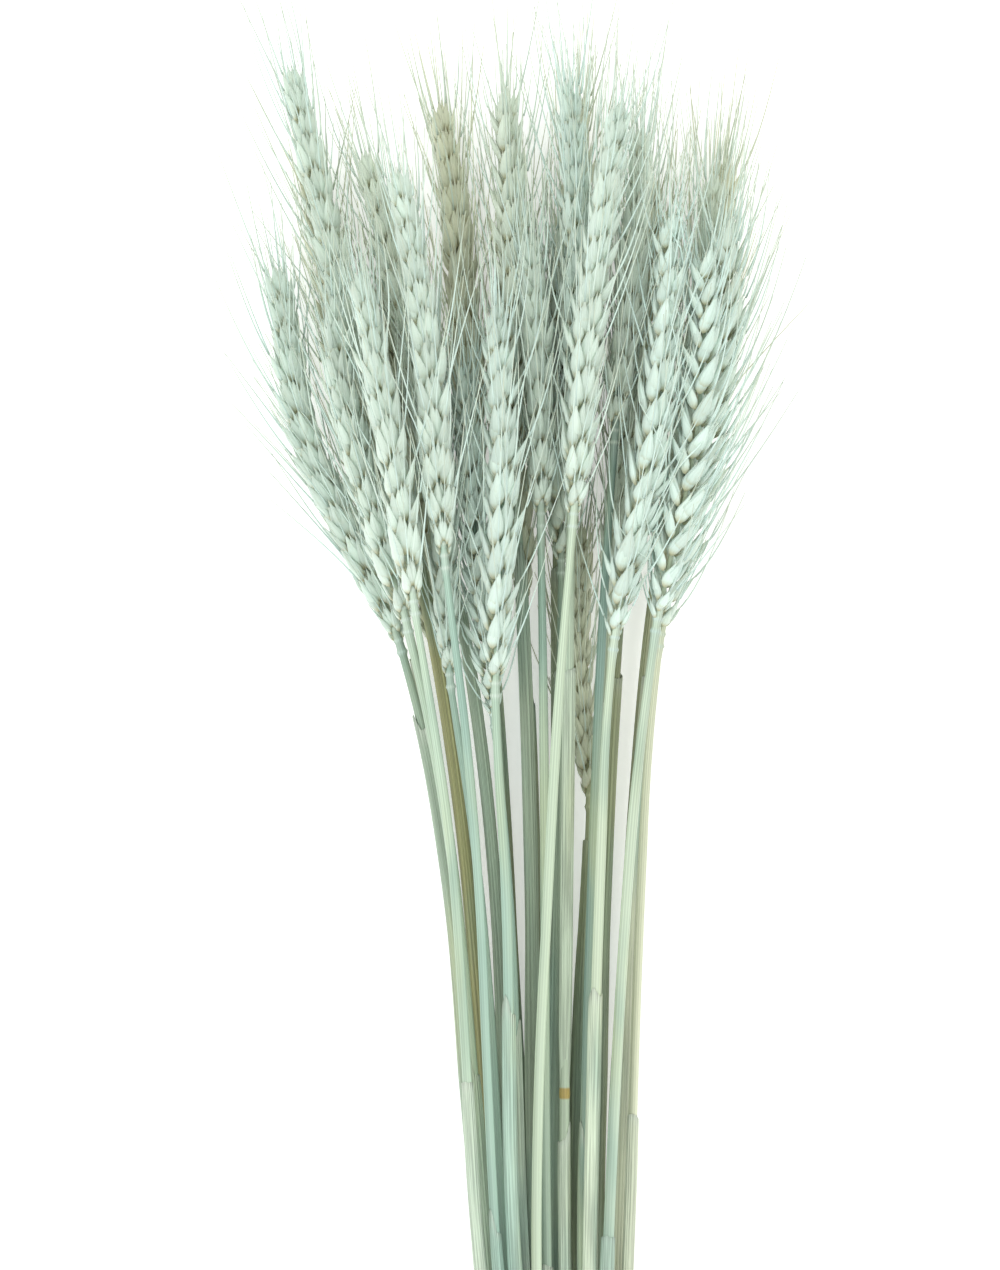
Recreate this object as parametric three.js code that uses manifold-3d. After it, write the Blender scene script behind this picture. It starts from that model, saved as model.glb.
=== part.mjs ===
// A bundle of dried bearded wheat, lying on a table: straws tied near their cut ends, fanning out to the ears.
// Millimetres, +Z up. The ears point along +Y and the cut ends along -Y.
// The origin is under the middle of the whole bundle, on the table.
import * as THREE from "three";
import { mergeVertices } from "three/addons/utils/BufferGeometryUtils.js";
import Module from "manifold-3d";

// Driving dimensions.
const CLEARANCE = 0.4; // kept between any two pieces
const STRAW_RADIUS = 1.25; // bare straw under the ear
const SHEATH_WALL = 0.6; // dry leaf sheath round the lower straw
const JOINT_SWELL = 0.3; // how far a straw's joint stands out of its sheath
const HOLLOW_RADIUS = 0.95; // hollow of the straw at its cut end
const HOLLOW_DEPTH = 34; // from the cut end up to the first joint
const EAR_RADIUS = 5.2; // widest part of an ear of girth 1
const EAR_ZIGZAG = 0.35; // how far each spikelet steps to one side
const EAR_BELLY = 0.62; // under 1 puts the widest part of an ear below its middle
const EAR_BLUNTNESS = 0.55; // under 1 rounds the two ends of an ear
const AWN_RADIUS = 0.34; // at the foot of an awn
const AWN_LENGTH = 58; // lowest awns, from the ear's middle line
const TIP_AWN_LENGTH = 25; // awns at the ear's tip
const AWN_LEAN = 0.24; // sideways for each mm along, lowest awns
const TIP_AWN_LEAN = 0.12; // the same at the ear's tip
const AWNS_PER_EAR = 8;
const TIE_Y = -92; // middle of the binding, in the layout's own Y
const CUT_Y = -158; // mean place of the cut ends
const TIE_LENGTH = 9; // along the straws
const TWINE_THICKNESS = 2.2;
const KNOT_RADIUS = 4;
const FAN_Y = 168; // from here on the layers are a whole ear apart
const LAYER_SPREAD = 0.012; // how much further apart the layers are for each mm beyond FAN_Y
const BUNCH_X = 12; // middle of the bunch at the binding
const CUT_SPLAY = 1.15; // how much wider the cut ends are than the straws at the binding
const CUT_RAGGEDNESS = 5; // how far the cut ends are in front of or behind CUT_Y
const LOWEST_SHEATH = 0.42; // share of a straw that its sheath covers, least
const HIGHEST_SHEATH = 0.72; // and most
const JOINT_LENGTH = 6;
const SHEATH_LIP = 0.8; // length of the step where a sheath ends
const STRAW_TAPER = 0.1; // share by which a bare straw is thicker below and thinner above

// Where a straw's outward curve lies: share of the way from the low point to the ear, across and along.
const SHOULDER_ACROSS = 0.43;
const SHOULDER_ALONG = 0.62;

// Fineness of the faceting.
const STRAW_SIDES = 6;
const EAR_SIDES = 6;
const EAR_RINGS = 11;
const AWN_SIDES = 3;
const TIE_SIDES = 40;
const LINE_STEPS = 90;

const SHEATH_RADIUS = STRAW_RADIUS + SHEATH_WALL;
const JOINT_RADIUS = SHEATH_RADIUS + JOINT_SWELL;
const STRAW_PITCH = 2 * JOINT_RADIUS + CLEARANCE;
const EAR_HALF = EAR_RADIUS + EAR_ZIGZAG;
const LAYER_PITCH = 2 * EAR_HALF + CLEARANCE;
const TIE_END_Y = TIE_Y + TIE_LENGTH; // the straws lie side by side up to here, and fan out beyond it

// The stalks, layer by layer from the table up, and from left to right in each layer.
// low: X of the straw at Y = 0. base and tip: [X, Y] of the two ends of the ear.
// bow: how far the middle of the ear stands to the right of the line between them.
const LAYERS = [
  [
    { low: -9, base: [-37, 205], tip: [-60, 316], bow: -2 },
    { low: -4, base: [-25, 178], tip: [-39, 288], bow: 1 },
    { low: 1, base: [-12, 222], tip: [-22, 333], bow: 1 },
    { low: 6, base: [1, 190], tip: [-3, 302], bow: -2 },
    { low: 11, base: [11, 228], tip: [17, 336], bow: 1 },
    { low: 16, base: [20, 133], tip: [18, 214], bow: -2, girth: 0.7 },
    { low: 22, base: [31, 200], tip: [38, 312], bow: 2 },
    { low: 27, base: [41, 212], tip: [60, 318], bow: 2 },
  ],
  [
    { low: -10, base: [-34, 178], tip: [-71, 281], bow: -5 },
    { low: -5, base: [-37, 236], tip: [-65, 342], bow: -2 },
    { low: 0, base: [-20, 208], tip: [-44, 318], bow: 2 },
    { low: 5, base: [-1, 226], tip: [-4, 338], bow: 1 },
    { low: 10, base: [12, 201], tip: [12, 300], bow: -1, girth: 0.9 },
    { low: 20, base: [26, 188], tip: [31, 292], bow: 2, girth: 0.95 },
    { low: 28, base: [40, 196], tip: [56, 312], bow: 3, girth: 0.9 },
  ],
  [
    { low: -9, base: [-32, 184], tip: [-56, 276], bow: -2 },
    { low: -4, base: [-18, 168], tip: [-27, 269], bow: 1, girth: 0.8 },
    { low: 1, base: [-9, 157], tip: [-16, 258], bow: -1, girth: 0.8 },
    { low: 8, base: [6, 214], tip: [3, 295], bow: 1, girth: 0.9 },
    { low: 13, base: [15, 242], tip: [14, 338], bow: 2, girth: 0.9 },
    { low: 18, base: [27, 238], tip: [35, 325], bow: 1, girth: 0.9 },
    { low: 31, base: [40, 180], tip: [62, 298], bow: 3 },
  ],
  [
    { low: -11, base: [-29, 189], tip: [-45, 281], bow: 1 },
    { low: -6, base: [-22, 202], tip: [-34, 311], bow: 2 },
    { low: -1, base: [-7, 166], tip: [-7, 275], bow: 2 },
    { low: 4, base: [15, 214], tip: [28, 329], bow: -2 },
    { low: 20, base: [28, 179], tip: [43, 298], bow: 3, girth: 1.08 },
    { low: 25, base: [37, 184], tip: [53, 290], bow: 4, girth: 0.95 },
  ],
];

const wasm = await Module();
wasm.setup();

const between = THREE.MathUtils.lerp;

// Share of an ear's full radius at share t of its length: widest a third of the way up.
const fullness = (t) => Math.sin(Math.PI * t ** EAR_BELLY) ** EAR_BLUNTNESS;

// Height above the table of a layer's straws and ears at a place along the bundle.
function layerHeight(layer, y) {
  const open = THREE.MathUtils.clamp((y - TIE_END_Y) / (FAN_Y - TIE_END_Y), 0, 1);
  const first = between(TWINE_THICKNESS + CLEARANCE + JOINT_RADIUS, EAR_RADIUS, open);
  const spread = LAYER_SPREAD * Math.max(0, y - FAN_Y);
  return first + layer * (between(STRAW_PITCH, LAYER_PITCH, open) + spread);
}

// A stalk's line from the cut end to the ear's tip, seen from above.
function planPoints(s) {
  const shoulder = [between(s.low, s.base[0], SHOULDER_ACROSS), s.base[1] * SHOULDER_ALONG];
  const middle = [(s.base[0] + s.tip[0]) / 2 + s.bow, (s.base[1] + s.tip[1]) / 2];
  const held = [
    [s.tie, TIE_Y - TIE_LENGTH],
    [s.tie, TIE_END_Y],
  ];
  return [[s.cut, s.cutY], ...held, [s.low, 0], shoulder, s.base, middle, s.tip];
}

function planCurve(s) {
  const points = planPoints(s).map(([x, y]) => new THREE.Vector2(x, y));
  return new THREE.SplineCurve(points).getPoints(LINE_STEPS);
}

function xAt(curve, y) {
  const found = curve.findIndex((p) => p.y >= y);
  const i = found < 0 ? curve.length - 1 : Math.max(1, found);
  const [a, b] = [curve[i - 1], curve[i]];
  return between(a.x, b.x, (y - a.y) / (b.y - a.y));
}

// Half of the room that a stalk takes across at y; even an ear's tip keeps a third of the ear's width.
function halfWidth(s, y) {
  const t = (y - s.base[1]) / (s.tip[1] - s.base[1]);
  return t <= 0 ? JOINT_RADIUS : EAR_HALF * s.girth * Math.max(1 / 3, fullness(t));
}

// How much closer two stalks of a layer come than their widths allow, at the worst place, and where that is.
function worstShortage(a, b) {
  const [left, right] = [planCurve(a), planCurve(b)];
  const slant = 1.03; // a stalk that leans takes a little more room across than its width
  const step = 4;
  let worst = { short: 0, y: 0 };
  for (let y = CUT_Y; y < Math.min(a.tip[1], b.tip[1]); y += step) {
    const need = slant * (halfWidth(a, y) + halfWidth(b, y) + CLEARANCE);
    const short = need - (xAt(right, y) - xAt(left, y));
    if (short > worst.short) worst = { short, y };
  }
  return worst;
}

// Pushes the stalks of one layer apart, to the left and right, until no two are closer than their widths allow.
function spread(layer) {
  const mostRounds = 400;
  const closeEnough = 0.02;
  for (let round = 0; round < mostRounds; round++) {
    let pushed = false;
    layer.forEach((a, i) =>
      layer.slice(i + 1).forEach((b) => {
        const { short, y } = worstShortage(a, b);
        if (short < closeEnough) return;
        nudge(a, y, -short / 2);
        nudge(b, y, short / 2);
        pushed = true;
      }),
    );
    if (!pushed) return;
  }
}

// Moves the part of a stalk's line nearest to y sideways.
function nudge(s, y, by) {
  if (y < TIE_Y / 2) [s.tie, s.cut] = [s.tie + by, s.cut + by];
  else if (y < s.base[1] / 2) s.low += by;
  else if (y < (s.base[1] + s.tip[1]) / 2) s.base[0] += by;
  else s.tip[0] += by;
}

// The same stalk as a line in space, with the place along it where the ear begins.
function spaceCurve(s) {
  const flat = planCurve(s);
  const rise = (p) => new THREE.Vector3(p.x, p.y, layerHeight(s.layer, p.y));
  const everyThird = flat.filter((_, i) => i % 3 === 0);
  const curve = new THREE.CatmullRomCurve3(everyThird.map(rise));
  curve.arcLengthDivisions = 600;
  const length = curve.getLength();
  const step = 0.5;
  let neck = 0;
  while (curve.getPointAt(neck / length).y < s.base[1]) neck += step;
  return { curve, length, neck };
}

// Bends a geometry that stands on the Y axis so that it follows a stalk from the distance `from` on.
function bendAlong(geometry, stalk, from, sway = () => 0) {
  const place = geometry.getAttribute("position");
  const up = new THREE.Vector3(0, 0, 1);
  for (let i = 0; i < place.count; i++) {
    const y = place.getY(i);
    const share = THREE.MathUtils.clamp((from + y) / stalk.length, 0, 1);
    const tangent = stalk.curve.getTangentAt(share);
    const side = new THREE.Vector3().crossVectors(tangent, up).normalize();
    const lift = new THREE.Vector3().crossVectors(side, tangent);
    const p = stalk.curve.getPointAt(share);
    p.addScaledVector(side, place.getX(i) + sway(y)).addScaledVector(lift, place.getZ(i));
    place.setXYZ(i, p.x, p.y, p.z);
  }
  return geometry;
}

// Straw: a hollow at the cut end, a joint, a sheath up to sheathEnd, then bare straw that narrows to the ear.
function straw(stalk) {
  const top = stalk.neck - CLEARANCE;
  const jointEnd = HOLLOW_DEPTH + JOINT_LENGTH / 2;
  const bareStart = stalk.sheathEnd + SHEATH_LIP;
  const outline = [
    [0, HOLLOW_DEPTH],
    [HOLLOW_RADIUS, HOLLOW_DEPTH],
    [HOLLOW_RADIUS, 0],
    [SHEATH_RADIUS, 0],
    [SHEATH_RADIUS, HOLLOW_DEPTH - JOINT_LENGTH / 2],
    [JOINT_RADIUS, HOLLOW_DEPTH],
    [SHEATH_RADIUS, jointEnd],
  ];
  const sheathSteps = 5;
  for (let i = 1; i <= sheathSteps; i++)
    outline.push([SHEATH_RADIUS, between(jointEnd, stalk.sheathEnd, i / sheathSteps)]);
  const bareSteps = 4;
  for (let i = 0; i <= bareSteps; i++) {
    const t = i / bareSteps;
    const radius = STRAW_RADIUS * between(1 + STRAW_TAPER, 1 - STRAW_TAPER, t);
    outline.push([radius, between(bareStart, top, t)]);
  }
  outline.push([0, top]);
  const points = outline.map(([r, y]) => new THREE.Vector2(r, y));
  return bendAlong(new THREE.LatheGeometry(points, STRAW_SIDES), stalk, 0);
}

// Ear: a narrow neck, then a body whose rings step left and right, one for each pair of spikelets.
function earBody(stalk) {
  const long = stalk.length - stalk.neck;
  const outline = [new THREE.Vector2(0, 0), new THREE.Vector2(STRAW_RADIUS, 0)];
  for (let i = 1; i < EAR_RINGS; i++) {
    const t = i / EAR_RINGS;
    outline.push(new THREE.Vector2(EAR_RADIUS * stalk.girth * fullness(t), t * long));
  }
  outline.push(new THREE.Vector2(0, long));
  const step = (y) => {
    const ring = Math.round((y / long) * EAR_RINGS);
    const inside = ring > 0 && ring < EAR_RINGS;
    return inside ? EAR_ZIGZAG * (ring % 2 ? 1 : -1) : 0;
  };
  return bendAlong(new THREE.LatheGeometry(outline, EAR_SIDES), stalk, stalk.neck, step);
}

// Where each awn of an ear runs: it leaves the ear's middle and leans out to one side.
function awnLines(stalk) {
  const lowest = 0.3;
  const highest = 0.97;
  const lines = [];
  for (let i = 0; i < AWNS_PER_EAR; i++) {
    const t = i / (AWNS_PER_EAR - 1);
    const at = between(stalk.neck, stalk.length, between(lowest, highest, t)) / stalk.length;
    const tangent = stalk.curve.getTangentAt(at);
    const out = new THREE.Vector3(tangent.y, -tangent.x, 0).normalize();
    const turn = (i % 2 ? 0 : Math.PI) + 0.5 * Math.sin(2.4 * i + stalk.number);
    out.multiplyScalar(Math.cos(turn)).setZ(0.6 * Math.sin(turn));
    const unevenness = 1 + 0.1 * Math.sin(1.7 * i + stalk.number);
    const way = tangent.addScaledVector(out, between(AWN_LEAN, TIP_AWN_LEAN, t)).normalize();
    const start = stalk.curve.getPointAt(at);
    const long = between(AWN_LENGTH, TIP_AWN_LENGTH, t) * unevenness;
    lines.push(new THREE.Line3(start, start.clone().addScaledVector(way, long)));
  }
  return lines;
}

function awn(line) {
  const long = line.distance();
  const cone = new THREE.CylinderGeometry(AWN_RADIUS / 4, AWN_RADIUS, long, AWN_SIDES, 1);
  cone.translate(0, long / 2, 0);
  const way = line.delta(new THREE.Vector3()).normalize();
  cone.applyQuaternion(new THREE.Quaternion().setFromUnitVectors(new THREE.Vector3(0, 1, 0), way));
  return cone.translate(line.start.x, line.start.y, line.start.z);
}

function solid(geometry) {
  geometry.deleteAttribute("normal");
  geometry.deleteAttribute("uv");
  const merged = mergeVertices(geometry, 1e-4);
  const mesh = new wasm.Mesh({
    numProp: 3,
    vertProperties: merged.getAttribute("position").array,
    triVerts: new Uint32Array(merged.index.array),
  });
  return new wasm.Manifold(mesh);
}

function geometryOf(manifold) {
  const { vertProperties, triVerts } = manifold.getMesh();
  const geometry = new THREE.BufferGeometry();
  geometry.setAttribute("position", new THREE.BufferAttribute(vertProperties, 3));
  geometry.setIndex(new THREE.BufferAttribute(triVerts, 1));
  return geometry.toNonIndexed();
}

// Radius of a stalk at a distance along it, for telling whether an awn has room.
function radiusAt(stalk, distance) {
  const t = (distance - stalk.neck) / (stalk.length - stalk.neck);
  const nearTip = 0.97;
  return t <= 0 ? JOINT_RADIUS : EAR_HALF * stalk.girth * fullness(Math.min(t, nearTip));
}

// Whether an awn clears the table, every other stalk and the awns already there.
function hasRoom(line, owner, stalks, placed) {
  const p = new THREE.Vector3();
  const q = new THREE.Vector3();
  const inEar = 0.2; // share of an awn that lies inside its own ear, where awns may meet
  for (let t = 0; t <= 1; t += 0.04) {
    line.at(t, p);
    if (p.z < AWN_RADIUS + CLEARANCE / 2) return false;
    for (const other of stalks)
      if (other !== owner)
        for (const { point, radius } of other.beads)
          if (point.distanceTo(p) < radius + AWN_RADIUS + CLEARANCE) return false;
    for (const other of placed) {
      other.closestPointToPoint(p, true, q);
      if (t > inEar && q.distanceTo(p) < 2 * AWN_RADIUS + CLEARANCE) return false;
    }
  }
  return true;
}

// Points of the loop that a string makes when it is pulled tight round the straws at the tie, `off` from their middles.
function tieLoop(stalks, off) {
  const points = [];
  for (let i = 0; i < TIE_SIDES; i++) {
    const angle = (2 * Math.PI * i) / TIE_SIDES;
    const way = new THREE.Vector2(Math.cos(angle), Math.sin(angle));
    const reach = (s) => s.tie * way.x + layerHeight(s.layer, TIE_Y) * way.y;
    const far = stalks.reduce((a, b) => (reach(b) > reach(a) ? b : a));
    const middle = new THREE.Vector2(far.tie, layerHeight(far.layer, TIE_Y));
    points.push(middle.addScaledVector(way, off));
  }
  return points;
}

function binding(stalks) {
  const inner = JOINT_RADIUS + CLEARANCE;
  const shape = new THREE.Shape(tieLoop(stalks, inner + TWINE_THICKNESS));
  shape.holes.push(new THREE.Path(tieLoop(stalks, inner)));
  const band = new THREE.ExtrudeGeometry(shape, { depth: TIE_LENGTH, bevelEnabled: false });
  return band.rotateX(Math.PI / 2).translate(0, TIE_Y + TIE_LENGTH / 2, 0);
}

// A flattened lump on top of the binding.
function knot(stalks) {
  const top = Math.max(...tieLoop(stalks, JOINT_RADIUS + CLEARANCE + TWINE_THICKNESS).map((p) => p.y));
  const flatness = 0.6;
  const lump = new THREE.SphereGeometry(KNOT_RADIUS, 8, 6).scale(1, 0.9, flatness);
  return lump.translate(BUNCH_X, TIE_Y, top + CLEARANCE + flatness * KNOT_RADIUS);
}

const strawLook = new THREE.MeshStandardMaterial({ color: 0xbcd0bd, roughness: 0.6, metalness: 0 });
const earLook = new THREE.MeshStandardMaterial({ color: 0xcbdacb, roughness: 0.75, metalness: 0 });
const twineLook = new THREE.MeshStandardMaterial({ color: 0xb89b6c, roughness: 0.9, metalness: 0 });

const bundle = new THREE.Group();
function add(name, geometry, look) {
  const mesh = new THREE.Mesh(geometry, look);
  mesh.name = name;
  bundle.add(mesh);
}

// Lays out the stalks: each layer's row at the tie is centred over the others.
const stalks = LAYERS.flatMap((rows, layer) => {
  const row = rows.map((s, k) => {
    const tie = BUNCH_X + (k - (rows.length - 1) / 2) * STRAW_PITCH;
    const cut = between(BUNCH_X, tie, CUT_SPLAY);
    const cutY = CUT_Y + CUT_RAGGEDNESS * Math.sin(2.1 * k + 1.3 * layer);
    return { girth: 1, ...s, base: [...s.base], tip: [...s.tip], layer, tie, cut, cutY };
  });
  spread(row);
  return row;
});
stalks.forEach((s, i) => {
  Object.assign(s, spaceCurve(s), { number: i + 1 });
  s.sheathEnd = between(LOWEST_SHEATH, HIGHEST_SHEATH, 0.5 + 0.5 * Math.sin(2.7 * i)) * s.neck;
  s.beads = [];
  const beadStep = 1.5;
  for (let d = 0; d <= s.length; d += beadStep)
    s.beads.push({ point: s.curve.getPointAt(d / s.length), radius: radiusAt(s, d) });
});

const placed = [];
for (const s of stalks) {
  const label = String(s.number).padStart(2, "0");
  add("straw_" + label, straw(s), strawLook);
  let ear = solid(earBody(s));
  for (const line of awnLines(s))
    if (hasRoom(line, s, stalks, placed)) {
      placed.push(line);
      ear = ear.add(solid(awn(line)));
    }
  add("ear_" + label, geometryOf(ear), earLook);
}
add("tie_binding", binding(stalks), twineLook);
add("tie_knot", knot(stalks), twineLook);

// Puts the origin under the middle of the bundle, on the table.
const box = new THREE.Box3().setFromObject(bundle);
const middle = box.getCenter(new THREE.Vector3());
for (const mesh of bundle.children) mesh.geometry.translate(-middle.x, -middle.y, -box.min.z);

export default bundle;
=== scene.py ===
# %% [markdown]
# # A bundle of dried wheat
# Stalks of bearded wheat, dried and dyed a pale grey-green, lie on a table, held by a few turns of twine.
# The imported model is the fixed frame: it says where each straw runs, where each ear sits and where
# the tie is. This lesson gives those plain solids their looks: ribbed straws in dry leaf sheaths, plump
# husks, fine awns and twisted jute. Each is modelled once, straight, and its copies are then bent along
# the lines that the frame gives.

# %% Load the frame
import math

import bmesh
import bpy
import numpy as np
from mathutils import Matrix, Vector


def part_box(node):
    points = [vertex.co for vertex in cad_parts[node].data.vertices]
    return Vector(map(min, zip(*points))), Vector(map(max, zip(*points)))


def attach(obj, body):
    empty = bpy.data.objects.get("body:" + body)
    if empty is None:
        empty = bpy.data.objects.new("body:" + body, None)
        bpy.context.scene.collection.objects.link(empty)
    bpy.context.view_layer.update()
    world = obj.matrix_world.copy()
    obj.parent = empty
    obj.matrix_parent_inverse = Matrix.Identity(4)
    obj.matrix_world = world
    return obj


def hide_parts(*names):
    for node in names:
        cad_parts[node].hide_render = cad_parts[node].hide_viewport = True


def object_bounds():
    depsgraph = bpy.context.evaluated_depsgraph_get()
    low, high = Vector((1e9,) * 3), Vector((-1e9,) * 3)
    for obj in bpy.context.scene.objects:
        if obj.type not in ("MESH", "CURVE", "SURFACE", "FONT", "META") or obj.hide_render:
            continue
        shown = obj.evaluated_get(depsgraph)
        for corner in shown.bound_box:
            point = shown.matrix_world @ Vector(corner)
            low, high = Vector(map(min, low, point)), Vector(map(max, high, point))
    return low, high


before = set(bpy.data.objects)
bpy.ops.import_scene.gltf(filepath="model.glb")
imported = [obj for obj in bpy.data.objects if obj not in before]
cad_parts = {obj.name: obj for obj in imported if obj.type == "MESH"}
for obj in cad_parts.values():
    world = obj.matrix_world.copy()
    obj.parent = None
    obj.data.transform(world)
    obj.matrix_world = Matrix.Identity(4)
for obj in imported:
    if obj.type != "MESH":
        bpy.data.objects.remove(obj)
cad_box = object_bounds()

MM = 0.001
scene = bpy.context.scene
low, high = (np.array(corner) for corner in cad_box)
print("the bundle is", [round(side / MM) for side in high - low], "mm")

# %% [markdown]
# ## The camera
# The bundle lies down, so the camera looks straight down on it, with the ears at the top of the frame.
# It stands far off with a long lens, as for a catalogue, so the stalks keep their proportions.
# The picture takes in the upper two thirds of the bundle, from the tips of the awns down.

# %% Camera
VIEW_LENGTH = 363 * MM
VIEW_SIDE = 1.7 * MM  # the view's middle is a little to the right of the bundle's
CAMERA_HEIGHT = 1.5  # metres above the table
IMAGE_WIDTH, IMAGE_HEIGHT = 1000, 1270
ears_height = high[2] * 0.6

camera_data = bpy.data.cameras.new("camera")
camera_data.sensor_fit = "HORIZONTAL"
view_width = VIEW_LENGTH * IMAGE_WIDTH / IMAGE_HEIGHT
camera_data.lens = camera_data.sensor_width * (CAMERA_HEIGHT - ears_height) / view_width
camera = bpy.data.objects.new("camera", camera_data)
camera.location = (VIEW_SIDE, high[1] - VIEW_LENGTH / 2, CAMERA_HEIGHT)
scene.collection.objects.link(camera)
scene.camera = camera
print("lens", round(camera_data.lens), "mm")

# %% [markdown]
# ## Floor and light
# A pale floor and a bright, even studio: one wide soft light high on the left, a weaker one on the right
# and a nearly white world. Soft light from the left lets each straw and husk turn from light to shade.
# The floor is a light table: it glows a little, so the gaps between the straws stay pale.

# %% Floor and lights
FLOOR_SIZE = 12  # metres, so that its edge never shows
FLOOR_GLOW = 0.36

bpy.ops.object.select_all(action="DESELECT")
bpy.ops.mesh.primitive_plane_add(size=FLOOR_SIZE, location=(0, 0, 0))
floor = bpy.context.object
floor.name = "floor"
floor_paper = bpy.data.materials.new("floor_paper")
floor_paper.use_nodes = True
floor_shader = floor_paper.node_tree.nodes["Principled BSDF"]
floor_shader.inputs["Base Color"].default_value = (0.93, 0.93, 0.93, 1)
floor_shader.inputs["Roughness"].default_value = 0.9
floor_shader.inputs["Emission Color"].default_value = (1, 1, 1, 1)
floor_shader.inputs["Emission Strength"].default_value = FLOOR_GLOW
floor.data.materials.append(floor_paper)


def softbox(name, place, size, power, colour):
    """A square area light that faces the middle of the ears."""
    data = bpy.data.lights.new(name, "AREA")
    data.color = colour
    data.size = size
    data.energy = power
    light = bpy.data.objects.new(name, data)
    light.location = place
    aim = Vector((0, high[1] * 0.3, 0)) - Vector(place)
    light.rotation_euler = aim.to_track_quat("-Z", "Y").to_euler()
    scene.collection.objects.link(light)


softbox("key_light", place=(-1.0, 0.4, 1.6), size=1.2, power=10, colour=(0.93, 0.99, 1))
softbox("fill_light", place=(1.2, -0.2, 1.7), size=1.8, power=7, colour=(1, 1, 0.99))
world = bpy.data.worlds.new("studio")
world.use_nodes = True
background = world.node_tree.nodes["Background"]
background.inputs["Color"].default_value = (0.97, 1, 0.97, 1)
background.inputs["Strength"].default_value = 1.02
scene.world = world
scene.view_settings.view_transform = "Standard"
print("floor", FLOOR_SIZE, "m, and two soft lights")

# %% [markdown]
# ## Reading the lines of the stalks
# The frame's straws and ears are plain turned solids: rings of six corners, bent along the stalk.
# The middle of each ring lies on the stalk's own line, so the rings' middles give that line back.
# An ear also carries a few awns, so its rings are looked for one by one, where the last two rings say
# that the next one is.

# %% Rings of the frame's straws and ears
RING_GAP = 1.0 * MM  # corners of one ring lie closer together than this along the stalk
EAR_RINGS = 11  # the plain ear has this many equal steps
EAR_REACH = 7 * MM  # corners further from an ear's line belong to its awns
FIRST_RING = 4 * MM  # an ear's first ring is further than this from the straw's end
RING_LEAN = 0.4 * MM  # its middle is this far past its nearest corner
RING_SLAB = 1.4 * MM  # the corners of a ring are within this of its middle, along the ear


def corners_of(node):
    """The different corners of a node's mesh."""
    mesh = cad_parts[node].data
    places = np.empty(3 * len(mesh.vertices))
    mesh.vertices.foreach_get("co", places)
    return np.unique(places.reshape(-1, 3).round(6), axis=0)


def middle(points):
    return (points.min(axis=0) + points.max(axis=0)) / 2


def unit(vectors):
    return vectors / np.linalg.norm(vectors, axis=-1, keepdims=True)


def spacing(points):
    """Distances from each point of a row to the next."""
    return np.linalg.norm(np.diff(points, axis=0), axis=1)


def straw_rings(node):
    """Middles and radii of a straw's rings, from the cut end up."""
    corners = corners_of(node)
    corners = corners[corners[:, 1].argsort()]
    breaks = np.flatnonzero(np.diff(corners[:, 1]) > RING_GAP) + 1
    rings = np.split(corners, breaks)
    middles = np.array([ring.mean(axis=0) for ring in rings])
    radii = np.array([np.linalg.norm(ring - ring.mean(axis=0), axis=1).max() for ring in rings])
    return middles, radii


def ring_near(corners, guess, way):
    """The corners of the ring whose middle should be at `guess`."""
    offset = corners - guess
    along = offset @ way
    across = np.linalg.norm(offset - along[:, None] * way, axis=1)
    return corners[(abs(along) < RING_SLAB) & (across < EAR_REACH)]


def ear_rings(node, base, way):
    """Middles and radii of an ear's rings, from its neck to its tip."""
    corners = corners_of(node)
    along = (corners - base) @ way
    across = np.linalg.norm(corners - base - along[:, None] * way, axis=1)
    middles, radii = [base], [0.0]
    step = along[(along > FIRST_RING) & (across < EAR_REACH)].min() + RING_LEAN
    for k in range(1, EAR_RINGS):
        ring = ring_near(corners, middles[-1] + way * step, way)
        if len(ring) < 5:  # too few corners to be a ring, so the ear is taken to go straight on
            middles.append(middles[-1] + way * step)
            radii.append(radii[-1])
            continue
        found = middle(ring)
        radii.append(np.linalg.norm(ring - found, axis=1).max())
        middles.append(found)
        reach = middles[-1] - middles[max(0, k - 2)]
        way = unit(reach)
        step = np.linalg.norm(reach) / min(k, 2)
    middles.append(middles[-1] + way * step)
    radii.append(0.0)
    middles = np.array(middles)
    smooth = middles.copy()  # each ring steps to one side, and the mean of neighbours takes that out
    smooth[1:-1] = (middles[:-2] + 2 * middles[1:-1] + middles[2:]) / 4
    return smooth, np.array(radii)


# %% A smooth line
POINTS_PER_SPAN = 24


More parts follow.
